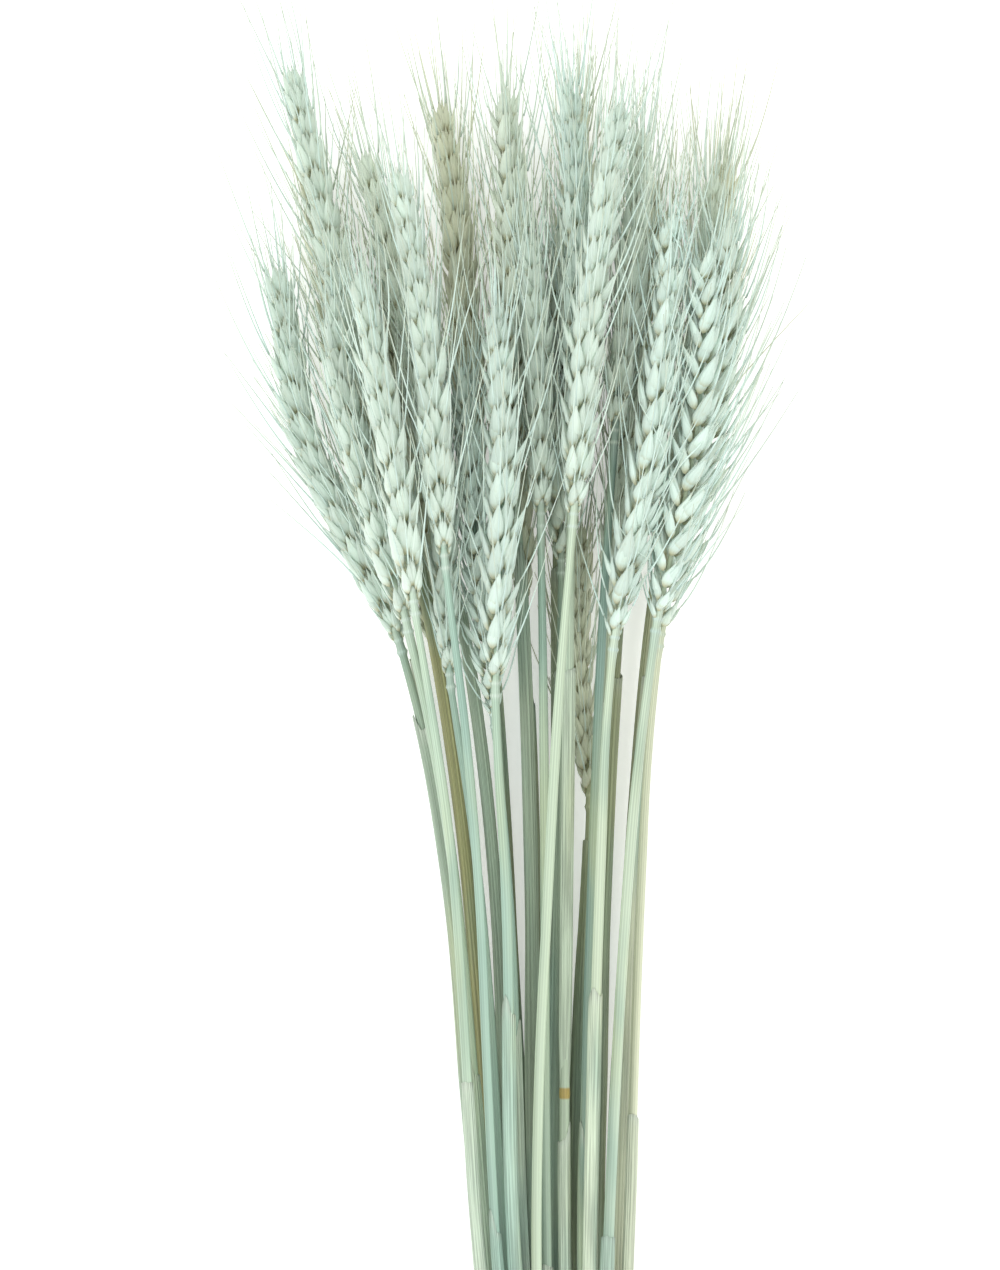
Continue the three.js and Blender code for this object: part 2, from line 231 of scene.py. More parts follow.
class Line:
    """A smooth line through knots, read by the distance along it."""

    def __init__(self, knots):
        before, after = 2 * knots[0] - knots[1], 2 * knots[-1] - knots[-2]
        p = np.concatenate([[before], knots, [after]])
        chords = spacing(p)
        pieces = []
        for i in range(1, len(p) - 2):
            t = np.linspace(0, 1, POINTS_PER_SPAN, endpoint=False)[:, None]
            span = chords[i]
            start = (p[i + 1] - p[i - 1]) * span / (chords[i] + chords[i - 1])
            end = (p[i + 2] - p[i]) * span / (chords[i] + chords[i + 1])
            blend = 3 * t**2 - 2 * t**3
            pieces.append(p[i] + blend * (p[i + 1] - p[i])
                          + (t**3 - 2 * t**2 + t) * start + (t**3 - t**2) * end)
        self.points = np.concatenate(pieces + [p[-2:-1]])
        self.distances = np.concatenate([[0], spacing(self.points).cumsum()])
        self.length = self.distances[-1]

    def inside(self, distance):
        """Points at distances between the line's two ends."""
        columns = [np.interp(distance, self.distances, self.points[:, k]) for k in range(3)]
        return np.stack(columns, axis=-1)

    def at(self, distance):
        """Points at these distances; beyond its ends the line runs straight on."""
        d = np.clip(distance, 0, self.length)
        return self.inside(d) + (distance - d)[..., None] * self.way(d)

    def way(self, distance):
        """Directions of the line at these distances."""
        d = np.clip(distance, MM, self.length - MM)
        return unit(self.inside(d + MM) - self.inside(d - MM))

    def frame(self, distance):
        """Point, way along, side (to the right) and lift (up) at these distances."""
        way = self.way(distance)
        side = unit(np.cross(way, (0, 0, 1)))
        return self.at(distance), way, side, np.cross(side, way)


# %% The line of each stalk
SHEATHED_RADIUS = 1.6 * MM  # a ring wider than this has a leaf sheath round the straw
stalks = []
for number in range(1, 1 + sum(name.startswith("straw_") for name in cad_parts)):
    label = f"{number:02d}"
    straw_middles, straw_radii = straw_rings(f"straw_{label}")
    neck_way = unit(straw_middles[-1] - straw_middles[-2])
    ear_middles, ear_radii = ear_rings(f"ear_{label}", straw_middles[-1], neck_way)
    line = Line(np.concatenate([straw_middles, ear_middles[1:]]))
    knot_distances = spacing(straw_middles).cumsum()
    sheath_top = knot_distances[np.flatnonzero(straw_radii > SHEATHED_RADIUS)[-1] - 1]
    ear_length = spacing(ear_middles).sum()
    stalks.append({"number": number, "label": label, "line": line, "neck": line.length - ear_length,
                   "sheath_top": sheath_top, "girth": ear_radii.max()})
    print("stalk", label, "is", round(line.length / MM), "mm long, with an ear of", round(ear_length / MM))

# %% [markdown]
# ## Tools for modelling once and copying often
# A husk, an awn, a straw, a sheath and a length of twine are each shaped once in edit mode, from a sphere
# or a cylinder. Their copies are worked out by array arithmetic: a husk's copy is the same shape on other
# axes, and a rod's copy has its rings set along a line. All copies of one kind on a stalk are one mesh.

# %% Selecting in edit mode
def pick(kind, test):
    """In edit mode, selects only the vertices, edges or faces that pass a test."""
    bpy.ops.mesh.select_mode(type=kind)
    bpy.ops.mesh.select_all(action="DESELECT")
    shape = bmesh.from_edit_mesh(bpy.context.object.data)
    for part in {"VERT": shape.verts, "EDGE": shape.edges, "FACE": shape.faces}[kind]:
        if test(part):
            part.select_set(True)
    bmesh.update_edit_mesh(bpy.context.object.data)


def begin(add, **settings):
    """Adds a primitive that lies along +Y from the origin, and opens it in edit mode."""
    bpy.ops.object.select_all(action="DESELECT")
    add(location=(0, 0.5, 0), rotation=(-math.pi / 2, 0, 0), **settings)
    bpy.ops.object.transform_apply(location=True, rotation=True, scale=True)
    bpy.ops.object.mode_set(mode="EDIT")
    return bpy.context.object


# %% Templates and their copies
class Template:
    """A finished shape as arrays, ready to be copied; its object is removed."""

    def __init__(self, shape):
        bpy.ops.object.mode_set(mode="OBJECT")
        mesh = shape.data
        self.corners = np.array([v.co for v in mesh.vertices])
        self.faces = [list(f.vertices) for f in mesh.polygons]
        uv = np.empty(2 * len(mesh.loops))
        mesh.uv_layers.active.data.foreach_get("uv", uv)
        self.uv = uv
        bpy.data.objects.remove(shape)
        print("template:", len(self.corners), "corners,", len(self.faces), "faces")


def piece_of(name, template, copies, material, node, tints=None):
    """One object made of copies of a template (an array of copies x corners x 3), with its finish in a
    slot;
    the plain solid that it stands for is hidden. `tints` holds a colour for each copy, or for each corner."""
    count, size, _ = copies.shape
    faces = [[c + k * size for c in face] for k in range(count) for face in template.faces]
    mesh = bpy.data.meshes.new(name)
    mesh.from_pydata(copies.reshape(-1, 3).tolist(), [], faces)
    mesh.uv_layers.new(name="UVMap").data.foreach_set("uv", np.tile(template.uv, count))
    mesh.polygons.foreach_set("use_smooth", [True] * len(faces))
    along = mesh.attributes.new("along", "FLOAT", "POINT")
    along.data.foreach_set("value", np.tile(template.corners[:, 1], count))
    if tints is not None:
        tint = mesh.attributes.new("tint", "FLOAT_COLOR", "POINT")
        tints = tints if tints.ndim == 3 else tints[:, None]
        colours = np.ones((count, size, 4))
        colours[..., :3] = tints
        tint.data.foreach_set("color", colours.ravel())
    mesh.materials.append(material)
    piece = bpy.data.objects.new(name, mesh)
    scene.collection.objects.link(piece)
    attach(piece, "root")
    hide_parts(node)


def set_on_axes(template, bases, axes):
    """Copies of a template with its own X, Y and Z laid on new axes (copies x 3 x 3) at new bases."""
    return bases[:, None] + np.einsum("vk,nkj->nvj", template.corners, axes)


def set_along(template, points, sides, lifts, radii):
    """Copies of a unit rod with their rings on rows of points (copies x rings x 3), at these radii."""
    ring = np.rint(template.corners[:, 1] * (points.shape[1] - 1)).astype(int)
    across = radii[:, ring, None] * template.corners[None, :, :1]
    upward = radii[:, ring, None] * template.corners[None, :, 2:]
    return points[:, ring] + across * sides[:, ring] + upward * lifts[:, ring]


# %% [markdown]
# ## The husk
# A glume or a lemma is a small boat of dry tissue: narrow at its foot, fullest a little below its middle,
# drawn out to a point, keeled along its back and nearly flat inside. A UV sphere has the right rings.
# Each is moved and resized to the outline, and then the inner side is pressed flat. The sphere is coarse,
# because there are thousands of husks.

# %% Model one husk
HUSK_SEGMENTS, HUSK_RINGS = 8, 7
# The height and half width of each ring, on a husk of length 1.
HUSK_OUTLINE = [(0.06, 0.22), (0.17, 0.40), (0.32, 0.50), (0.50, 0.44), (0.69, 0.28), (0.88, 0.11)]
HUSK_CURL, CURL_HEIGHT = 0.32, 0.42  # the husk bends inwards above and below this height
INNER_SIDE, INNER_SHARE = -0.1, 0.3  # the inner side is pressed towards this depth, to this share
KEEL = 0.05
TIP_STRETCH, TIP_DROOP = 0.1, -0.1
ASIDE = 10  # rings are moved this far off, so that a moved ring isn't picked again


def model_husk():
    husk = begin(bpy.ops.mesh.primitive_uv_sphere_add,
                 segments=HUSK_SEGMENTS, ring_count=HUSK_RINGS, radius=0.5)
    for k, (height, half_width) in enumerate(HUSK_OUTLINE, start=1):
        turn = math.pi * k / HUSK_RINGS
        old = 0.5 - 0.5 * math.cos(turn)
        pick("VERT", lambda v: abs(v.co.y - old) < 0.005)
        wider = half_width / (0.5 * math.sin(turn))
        bpy.ops.transform.resize(value=(wider, 1, wider), center_override=(0, old, 0))
        curl = -HUSK_CURL * (height - CURL_HEIGHT) ** 2
        bpy.ops.transform.translate(value=(0, height - old + ASIDE, curl))
    pick("VERT", lambda v: v.co.y > ASIDE / 2)
    bpy.ops.transform.translate(value=(0, -ASIDE, 0))
    pick("VERT", lambda v: v.co.z < INNER_SIDE - 0.02)
    bpy.ops.transform.resize(value=(1, 1, INNER_SHARE), center_override=(0, 0, INNER_SIDE))
    pick("VERT", lambda v: abs(v.co.x) < 0.01 and v.co.z > 0.15)
    bpy.ops.transform.translate(value=(0, 0, KEEL))
    pick("VERT", lambda v: v.co.y > 0.99)
    bpy.ops.transform.translate(value=(0, TIP_STRETCH, TIP_DROOP))
    return Template(husk)


husk_template = model_husk()

# %% [markdown]
# ## Rods: straws, sheaths and awns
# A straw and an awn are rods. A cylinder gets rings by subdividing only its long edges, so a copy can bend.
# The straw's cut end shows that it is hollow: its end face is inset and pushed in. A sheath is an open
# tube whose wall comes from a Solidify modifier, so that its torn upper edge shows a thin rim.

# %% Model the rods
STRAW_SIDES, STRAW_STEPS = 14, 84
SHEATH_SIDES, SHEATH_STEPS = 24, 40
AWN_SIDES, AWN_STEPS = 3, 9
STRAW_WALL, SHEATH_WALL = 0.3, 0.1  # shares of the rod's radius
BORE_STEPS = 3  # the straw's cut end is open for this many of its steps


def model_rod(sides, steps, ends="NGON"):
    rod = begin(bpy.ops.mesh.primitive_cylinder_add, vertices=sides, radius=1, depth=1, end_fill_type=ends)
    pick("EDGE", lambda e: abs(e.verts[0].co.y - e.verts[1].co.y) > 0.5)
    bpy.ops.mesh.subdivide(number_cuts=steps - 1)
    return rod


def model_straw():
    straw = model_rod(STRAW_SIDES, STRAW_STEPS)
    pick("FACE", lambda f: f.normal.y < -0.9)
    bpy.ops.mesh.inset(thickness=STRAW_WALL)
    bpy.ops.mesh.extrude_region_move(TRANSFORM_OT_translate={"value": (0, BORE_STEPS / STRAW_STEPS, 0)})
    return Template(straw)


def model_sheath():
    sheath = model_rod(SHEATH_SIDES, SHEATH_STEPS, ends="NOTHING")
    bpy.ops.object.mode_set(mode="OBJECT")
    wall = sheath.modifiers.new("wall", "SOLIDIFY")
    wall.thickness = SHEATH_WALL
    wall.offset = -1
    bpy.ops.object.modifier_apply(modifier="wall")
    return Template(sheath)


straw_template = model_straw()
sheath_template = model_sheath()
awn_template = Template(model_rod(AWN_SIDES, AWN_STEPS - 1))

# %% [markdown]
# ## Finishes
# The dye is thin, so the straw's own beige and olive show through it in patches along the straws and at the
# joints.
# The olive at the feet of the husks is painted warm shade, where the husks overlap. Each copy carries its
# own tint as an attribute, and the nodes lay veins, streaks and mottling over it. Ribs and streaks follow
# the UV map, so they bend with the straw.

# %% Node helpers
def srgb(red, green, blue):
    """A colour given as on a screen, 0 to 255, as the linear values that shaders use."""
    c = np.array([red, green, blue]) / 255
    return np.where(c <= 0.04045, c / 12.92, ((c + 0.055) / 1.055) ** 2.4)


def new_finish(name, **constants):
    """A material whose shader has these constant inputs."""
    material = bpy.data.materials.new(name)
    material.use_nodes = True
    for socket, value in constants.items():
        material.node_tree.nodes["Principled BSDF"].inputs[socket.replace("_", " ")].default_value = value
    return material


def wire(material, value, socket):
    if isinstance(value, bpy.types.NodeSocket):
        material.node_tree.links.new(value, socket)
    else:
        socket.default_value = value


def new_node(material, kind):
    return material.node_tree.nodes.new("ShaderNode" + kind)


def attribute(material, name, output):
    source = new_node(material, "Attribute")
    source.attribute_name = name
    return source.outputs[output]


def maths(material, operation, a, b=0.0):
    made = new_node(material, "Math")
    made.operation = operation
    wire(material, a, made.inputs[0])
    wire(material, b, made.inputs[1])
    return made.outputs[0]


def remap(material, value, from_low, from_high, to_low, to_high):
    made = new_node(material, "MapRange")
    made.interpolation_type = "SMOOTHSTEP"
    for k, given in enumerate((value, from_low, from_high, to_low, to_high)):
        wire(material, given, made.inputs[k])
    return made.outputs[0]


def mixed(material, factor, a, b, blend="MIX"):
    made = new_node(material, "Mix")
    made.data_type = "RGBA"
    made.blend_type = blend
    wire(material, factor, made.inputs[0])
    wire(material, a, made.inputs[6])
    wire(material, b, made.inputs[7])
    return made.outputs[2]


def noise(material, coordinates, stretch, detail=2.0, roughness=0.5):
    """Noise on coordinates that are first stretched along each axis."""
    mapping = new_node(material, "Mapping")
    mapping.inputs["Scale"].default_value = stretch
    texture = new_node(material, "TexNoise")
    texture.inputs["Scale"].default_value = 1.0
    texture.inputs["Detail"].default_value = detail
    texture.inputs["Roughness"].default_value = roughness
    wire(material, coordinates, mapping.inputs["Vector"])
    wire(material, mapping.outputs[0], texture.inputs["Vector"])
    return texture.outputs["Fac"]


def coordinates(material, output):
    return new_node(material, "TexCoord").outputs[output]


def ribs(material, count):
    """A wave that runs `count` times round the piece, from 0 to 1."""
    split = new_node(material, "SeparateXYZ")
    wire(material, coordinates(material, "UV"), split.inputs[0])
    turns = maths(material, "MULTIPLY", split.outputs[0], 2 * math.pi * count)
    return maths(material, "MULTIPLY_ADD", maths(material, "SINE", turns), 0.5)


def finish_shader(material, colour, height, depth):
    """Joins the colour and a bump of this depth to the shader."""
    shader = material.node_tree.nodes["Principled BSDF"]
    bump = new_node(material, "Bump")
    bump.inputs["Strength"].default_value = 1.0
    bump.inputs["Distance"].default_value = depth
    wire(material, height, bump.inputs["Height"])
    wire(material, bump.outputs[0], shader.inputs["Normal"])
    wire(material, colour, shader.inputs["Base Color"])


# %% [markdown]
# ## Four dry finishes
# Husks are matt, with a little sheen from fine hairs, painted olive shade at the foot and cream at the tip.
# Awns are a
# little glossier. A straw has fine ribs and a soft gloss, and a sheath is rougher, with deeper ribs:
# the same function with other numbers. Images could hold all this, but nodes stay sharp at any size.

# %% Husk and awn finishes
# olive: painted warm shade where the husks overlap at their feet, and the colour of their random mottling
OLIVE_SHADE_AND_MOTTLING = (*srgb(188, 174, 116), 1)
TIP_CREAM = (*srgb(206, 205, 172), 1)
DARKER = (*srgb(206, 206, 206), 1)


def husk_finish():
    husk = new_finish("husk_dyed", Roughness=0.65, Specular_IOR_Level=0.3,
                      Sheen_Weight=0.25, Sheen_Roughness=0.6)
    tint, along = attribute(husk, "tint", "Color"), attribute(husk, "along", "Fac")
    place = coordinates(husk, "Object")
    # the foot of each husk is painted olive, as shade where the husks overlap
    foot = mixed(husk, remap(husk, along, 0.0, 0.35, 0.75, 0.0), tint, OLIVE_SHADE_AND_MOTTLING)
    tipped = mixed(husk, remap(husk, along, 0.86, 1.0, 0.0, 0.45), foot, TIP_CREAM)
    veins = ribs(husk, HUSK_SEGMENTS)
    lines = maths(husk, "POWER", veins, 3)
    veined = mixed(husk, maths(husk, "MULTIPLY", lines, 0.1), tipped, DARKER, "MULTIPLY")
    mottling = noise(husk, place, (420, 420, 420), detail=4)
    patchy = mixed(husk, remap(husk, mottling, 0.5, 0.75, 0.0, 0.12), veined, OLIVE_SHADE_AND_MOTTLING)
    grain = noise(husk, place, (2600, 900, 2600), detail=3)
    height = maths(husk, "SUBTRACT", grain, lines)
    finish_shader(husk, patchy, height, 0.06 * MM)
    return husk


def awn_finish():
    awn = new_finish("awn_dyed", Roughness=0.5, Specular_IOR_Level=0.4)
    tint, along = attribute(awn, "tint", "Color"), attribute(awn, "along", "Fac")
    tipped = mixed(awn, remap(awn, along, 0.35, 1.0, 0.0, 0.5), tint, TIP_CREAM)
    uneven = noise(awn, coordinates(awn, "Object"), (300, 120, 300))
    shaded = mixed(awn, maths(awn, "MULTIPLY", uneven, 0.3), tipped, DARKER, "MULTIPLY")
    finish_shader(awn, shaded, uneven, 0.02 * MM)
    return awn


husk_dyed = husk_finish()
awn_dyed = awn_finish()
print("finishes:", husk_dyed.name, awn_dyed.name)

# %% Straw and sheath finishes
STREAK_TEAL = (*srgb(140, 176, 164), 1)
STREAK_YELLOW = (*srgb(210, 214, 166), 1)


def straw_finish(name, rib_count, rib_depth, roughness):
    straw = new_finish(name, Roughness=roughness, Specular_IOR_Level=0.4)
    tint = attribute(straw, "tint", "Color")
    place, around = coordinates(straw, "Object"), coordinates(straw, "UV")
    teal_patches, yellow_patches = noise(straw, place, (55, 14, 55)), noise(straw, place, (70, 9, 90))
    teal = mixed(straw, remap(straw, teal_patches, 0.48, 0.7, 0, 0.55), tint, STREAK_TEAL)
    both = mixed(straw, remap(straw, yellow_patches, 0.5, 0.72, 0, 0.5), teal, STREAK_YELLOW)
    streaks = noise(straw, around, (1.3 * rib_count, 5, 1), detail=3)
    streaked = mixed(straw, remap(straw, streaks, 0.35, 0.65, 0.9, 0.0), both, DARKER, "MULTIPLY")
    ribbed = ribs(straw, rib_count)
    shaded = mixed(straw, maths(straw, "MULTIPLY", ribbed, 0.2), streaked, DARKER, "MULTIPLY")
    height = maths(straw, "ADD", ribbed, maths(straw, "MULTIPLY", streaks, 0.8))
    finish_shader(straw, shaded, height, rib_depth)
    return straw


straw_dyed = straw_finish("straw_dyed", rib_count=11, rib_depth=0.04 * MM, roughness=0.42)
sheath_dry = straw_finish("sheath_dry", rib_count=16, rib_depth=0.13 * MM, roughness=0.58)
print("finishes:", straw_dyed.name, sheath_dry.name)

# %% [markdown]
# ## Tints
# The dye took unevenly. Stalks on the left came out cooler and bluer, those on the right are yellower,
# and every stalk is a little different from its neighbour. The lowest ones, deep in the pile, get painted
# shade: darker, olive straws and beige husks. Each stalk's tint is blended from a few named colours.
# One seeded generator makes every random choice.

# %% Tints
rng = np.random.default_rng(28)
COOL_HUSK, WARM_HUSK, BEIGE_HUSK = srgb(209, 232, 227), srgb(221, 236, 225), srgb(225, 224, 200)
TEAL_STRAW, GREEN_STRAW, YELLOW_STRAW = srgb(178, 208, 193), srgb(208, 226, 200), srgb(239, 241, 210)
# olive and beige that stalks deep in the pile are blended towards: painted shade
PILE_SHADE_STRAW, PILE_SHADE_HUSK = srgb(136, 136, 92), srgb(218, 206, 160)
DARK_STRAW, GOLD_STRAW = srgb(146, 174, 162), srgb(172, 170, 122)
PALE_SHEATH, TORN_EDGE, TAN_JOINT = srgb(212, 223, 204), srgb(228, 234, 220), srgb(196, 172, 104)
DARK_STALK, GOLDEN_STALK = 21, 10  # two stalks whose upper sheaths stand out
SHEATH_TINTS = {DARK_STALK: DARK_STRAW, GOLDEN_STALK: GOLD_STRAW}
LOW_IN_PILE_HEIGHT = 22 * MM  # stalks whose ears begin lower than this lie deep in the pile and get more and more painted shade
HUSK_PILE_SHADE, STRAW_PILE_SHADE = 0.6, 0.9  # how much of that painted shade they get at the table
UNSHADED_HEIGHT, SHADED_SHARE = 36 * MM, 0.8  # from this height down to the lower one the straw is darkened to this share, as painted shade
PRESSED_FROM = 0.2  # a stalk that is lower than LOW_IN_PILE_HEIGHT by more than this share is pressed by the pile
half_width = (high[0] - low[0]) / 2


def blend(a, b, share):
    share = np.asarray(share)[..., None]
    return a * (1 - share) + b * share


for stalk in stalks:
    side, _, height = stalk["line"].at(np.array(stalk["neck"]))
    across = side / half_width  # -1 left to 1 right
    warmth = np.clip(0.35 + 0.5 * across + rng.normal(0, 0.2), 0, 1)
    # how deep the stalk lies in the pile; it sets the painted shade of its colours and whether it is
    # pressed
    buried = np.clip(1 - height / LOW_IN_PILE_HEIGHT, 0, 1)
    stalk["pressed"] = buried > PRESSED_FROM
    dyed_husk = blend(blend(COOL_HUSK, WARM_HUSK, warmth), BEIGE_HUSK, rng.uniform(0, 0.35))
    # husks low in the pile are blended towards beige: painted warm shade
    stalk["husk"] = blend(dyed_husk, PILE_SHADE_HUSK, HUSK_PILE_SHADE * buried)
    yellow = np.clip(2.6 * across - 0.6 + rng.normal(0, 0.18), 0, 1)
    dyed = blend(blend(TEAL_STRAW, GREEN_STRAW, rng.uniform()), YELLOW_STRAW, yellow)
    # straws low in the pile are darkened and blended towards olive: painted shade
    dyed = dyed * np.interp(height, (LOW_IN_PILE_HEIGHT, UNSHADED_HEIGHT), (SHADED_SHARE, 1))
    stalk["straw"] = blend(dyed, PILE_SHADE_STRAW, STRAW_PILE_SHADE * buried)
    if stalk["number"] == DARK_STALK:
        stalk["straw"] = DARK_STRAW
print("pressed stalks:", sum(bool(stalk["pressed"]) for stalk in stalks))

# %% [markdown]
# ## Straws
# A straw is hollow and cut square. It thickens at its joints, which are tan where the dye didn't take, and
# thins towards the ear, where it goes on inside the ear as the axis that carries the spikelets.
# Rings are set closer at the joints, because only there does the radius change quickly.

# %% Straws
BARE_RADIUS = 1.4 * MM
SLENDER, THICK = 0.9, 1.1  # share of that radius on the thinnest and the thickest stalk
JOINT_SWELL = 0.16 * MM
JOINT_LENGTH = 1.6 * MM
LOWER_JOINT = 34 * MM  # from the cut end
SHORTEST_SPAN = 30 * MM  # the other joint is at least this far above it
JOINT_RINGS = np.array([-6, -3, -1.9, -1.3, 0, 1.3, 1.9, 3, 6]) * MM
COLLARS = np.array([-0.5, 3, 6.5]) * MM  # knobs at the ear's foot, from the neck
COLLAR_SWELL, COLLAR_LENGTH = 0.55 * MM, 0.8 * MM
UPPER_SHEATH = (105 * MM, 150 * MM)  # the uppermost joint is this far below the end of its sheath
OPEN_STALK = 20  # this stalk's lower sheath ends early, so that its last joint stands free
OPEN_DROP, OPEN_REACH = 84 * MM, 14 * MM  # how much earlier, and the joint's height above that end
AXIS_SHARE = 0.85  # how far up the ear its axis goes


def bump_at(distances, place, length):
    """1 at a place, falling to 0 over this length on both sides."""
    return np.exp(-(((distances - place) / length) ** 2))


def wrapped(template, line, distances, radii, widen=1.0):
    """A unit rod with each corner at its own distance along a line and its own radius."""
    points, _, side, lift = line.frame(distances)
    x, z = template.corners[:, :1], template.corners[:, 2:]
    return points + radii[:, None] * (x * widen * side + z / widen**0.5 * lift)


def make_straw(stalk):
    line, neck = stalk["line"], stalk["neck"]
    end = neck + AXIS_SHARE * (line.length - neck)
    collar_rings = (neck + COLLARS[:, None] + np.array([-1, 0, 1]) * COLLAR_LENGTH).ravel()
    closer = np.concatenate([LOWER_JOINT + JOINT_RINGS, stalk["joint"] + JOINT_RINGS, collar_rings])
    even = np.linspace(0, end, STRAW_STEPS + 1 - len(closer))
    rings = np.sort(np.concatenate([even, closer]))
    corner_rings = np.interp(straw_template.corners[:, 1], np.linspace(0, 1, STRAW_STEPS + 1), rings)
    swell = sum(bump_at(corner_rings, joint, JOINT_LENGTH) for joint in (LOWER_JOINT, stalk["joint"]))
    collars = sum(bump_at(corner_rings, neck + step, COLLAR_LENGTH) for step in COLLARS)
    taper = np.interp(corner_rings, [0, neck - 60 * MM, neck, neck + 9 * MM, end], [1.1, 1, 0.75, 0.5, 0.3])
    radii = BARE_RADIUS * stalk["stout"] * taper + JOINT_SWELL * swell + COLLAR_SWELL * collars
    copy = wrapped(straw_template, line, corner_rings, radii)
    tint = blend(stalk["straw"], TAN_JOINT, np.clip(swell * 4 - 1, 0, 1))
    tint = blend(tint, stalk["husk"], np.clip(collars, 0, 1))
    return copy[None], tint[None]


for stalk in stalks:
    stalk["stout"] = rng.uniform(SLENDER, THICK)
    stalk["joint"] = max(stalk["sheath_top"] - rng.uniform(*UPPER_SHEATH), LOWER_JOINT + SHORTEST_SPAN)
    if stalk["number"] == OPEN_STALK:
        stalk["sheath_top"] -= OPEN_DROP
        stalk["joint"] = stalk["sheath_top"] + OPEN_REACH
    copies, tint = make_straw(stalk)
    label = stalk["label"]
    piece_of(f"stem_{label}", straw_template, copies, straw_dyed, f"straw_{label}", tint)
print("straws:", len(stalks))

# %% [markdown]
# ## Leaf sheaths
# Each joint carries a sheath, the lower part of a leaf, wrapped round the straw above it. The blades are
# gone, so the upper edge is torn. A cut through a coarse tube would show steps, so the tube's last rings
# are drawn out instead, by a different amount in each column.

# %% Sheaths
SHEATH_RADIUS = 1.74 * MM
TIGHT, FOOT_LENGTH = 0.76, 11 * MM  # how closely it holds the straw at its foot, and how far up
TORN_FROM = 0.93  # the torn edge takes the rest of its length
TEAR, SLANT, TONGUE = 0.25 * MM, 0.8 * MM, 9 * MM
TONGUED = 0.4  # share of the sheaths whose edge is drawn out to a tongue
FOLD = 0.035  # a drying sheath shrinks into shallow folds
WIDER = 1.08  # a sheath is a little wider than high
PRESSED_WIDER = 1.5  # at the bottom of the pile it is pressed flat, where the straws above crowd together
CROWDED = (-45 * MM, -5 * MM)  # they do so up to the first place along Y, and less and less up to the other
PRESSED_REACH = (8 * MM, 30 * MM)  # sheaths at the bottom reach up to this far below the ear
BARE_NECK = 70 * MM  # and where the joint is above the lower sheath, its own ends this far below the ear
JOINT_GAP = (4, 18)  # millimetres of bare straw between a sheath and the next joint
END_SHEATH = (0.6 * MM, LOWER_JOINT - 2 * MM)  # from the cut end to the lower joint


def sheath_copy(stalk, start, end):
    """A torn tube from `start` to `end`, and how close each corner is to its torn edge."""
    x, z = sheath_template.corners[:, 0], sheath_template.corners[:, 2]
    angle = np.arctan2(z, x)
    column = np.rint(angle / (2 * math.pi) * SHEATH_SIDES).astype(int) % SHEATH_SIDES
    tears = rng.normal(0, TEAR, SHEATH_SIDES)
    split = rng.uniform(0, math.pi)  # the side that is drawn out to a tongue
    long = TONGUE * rng.uniform(0.3, 1) * (rng.uniform() < TONGUED)
    tongue = long * np.clip(np.cos(angle - split) * 2.2 - 1.2, 0, 1)
    slant = SLANT * np.cos(angle + rng.uniform(0, 6))
    share = sheath_template.corners[:, 1]
    near_end = np.clip((share - TORN_FROM) / (1 - TORN_FROM), 0, 1)
    distances = start + (end - start) * share + (tears[column] + tongue + slant) * near_end**2
    foot = 1 - (1 - TIGHT) * bump_at(distances, start, FOOT_LENGTH)
    snug = 1 - 0.04 * near_end + 0.015 * np.sin(share * 19 + stalk["number"])
    radii = SHEATH_RADIUS * stalk["stout"] * foot * snug
    folds = rng.uniform(0, 6, 2)
    radii *= 1 + FOLD * (np.sin(3 * angle + folds[0]) + np.sin(5 * angle + folds[1] + share * 3))
    flattest = PRESSED_WIDER if stalk["pressed"] else WIDER
    widen = np.interp(stalk["line"].at(distances)[:, 1], CROWDED, (flattest, WIDER))[:, None]
    return wrapped(sheath_template, stalk["line"], distances, radii, widen), near_end


for stalk in stalks:
    if stalk["pressed"]:
        stalk["sheath_top"] = stalk["neck"] - rng.uniform(*PRESSED_REACH)
    joint, top = stalk["joint"], stalk["sheath_top"]
    if joint > top:
        spans = [(LOWER_JOINT, top), (joint, stalk["neck"] - BARE_NECK)]
    else:
        spans = [(LOWER_JOINT, joint - rng.uniform(*JOINT_GAP) * MM), (joint, top)]
    made = [sheath_copy(stalk, start + 1.5 * MM, end) for start, end in spans]
    made.append(sheath_copy(stalk, *END_SHEATH))
    # sheaths of pressed stalks keep close to the straw's darker colour, and so to its painted shade
    paler = rng.uniform(0.1, 0.8, 3) * (0.25 if stalk["pressed"] else 1)
    pale = blend(stalk["straw"], PALE_SHEATH, paler)
    if stalk["number"] in SHEATH_TINTS:
        pale[1] = SHEATH_TINTS[stalk["number"]]
    copies, edges = (np.array(part) for part in zip(*made))
    tints = blend(pale[:, None], TORN_EDGE, 0.6 * edges**6)
    label = stalk["label"]
    piece_of(f"leaf_sheaths_{label}", sheath_template, copies, sheath_dry, f"straw_{label}", tints)
print("sheaths on each stalk:", len(made))

# %% [markdown]
# ## Ears
# An ear's axis carries spikelets left and right in turn. Each spikelet is a fan of husks: two glumes
# outside, then the lemmas of four full florets, and a small floret in the middle. A turn about the ear's
# own line decides whether it shows its two rows side by side or one row of broad fans. Particles could
# scatter husks, but their order is what makes an ear, so each one's place is worked out.

# %% Spikelets of an ear
SPIKELET_STEP = 4.3 * MM
SPIKELET_LEAN = math.radians(12)
FULL_GIRTH = 4.6 * MM
SLIM, STOUT = 0.85, 1.15  # spikelets of the slimmest and the stoutest ears
FIRST, LAST = 3 * MM, 7 * MM  # the first spikelet from the neck, and the last from the ear's tip
OFF_AXIS = 0.15 * MM  # a spikelet's foot is this far from the ear's line
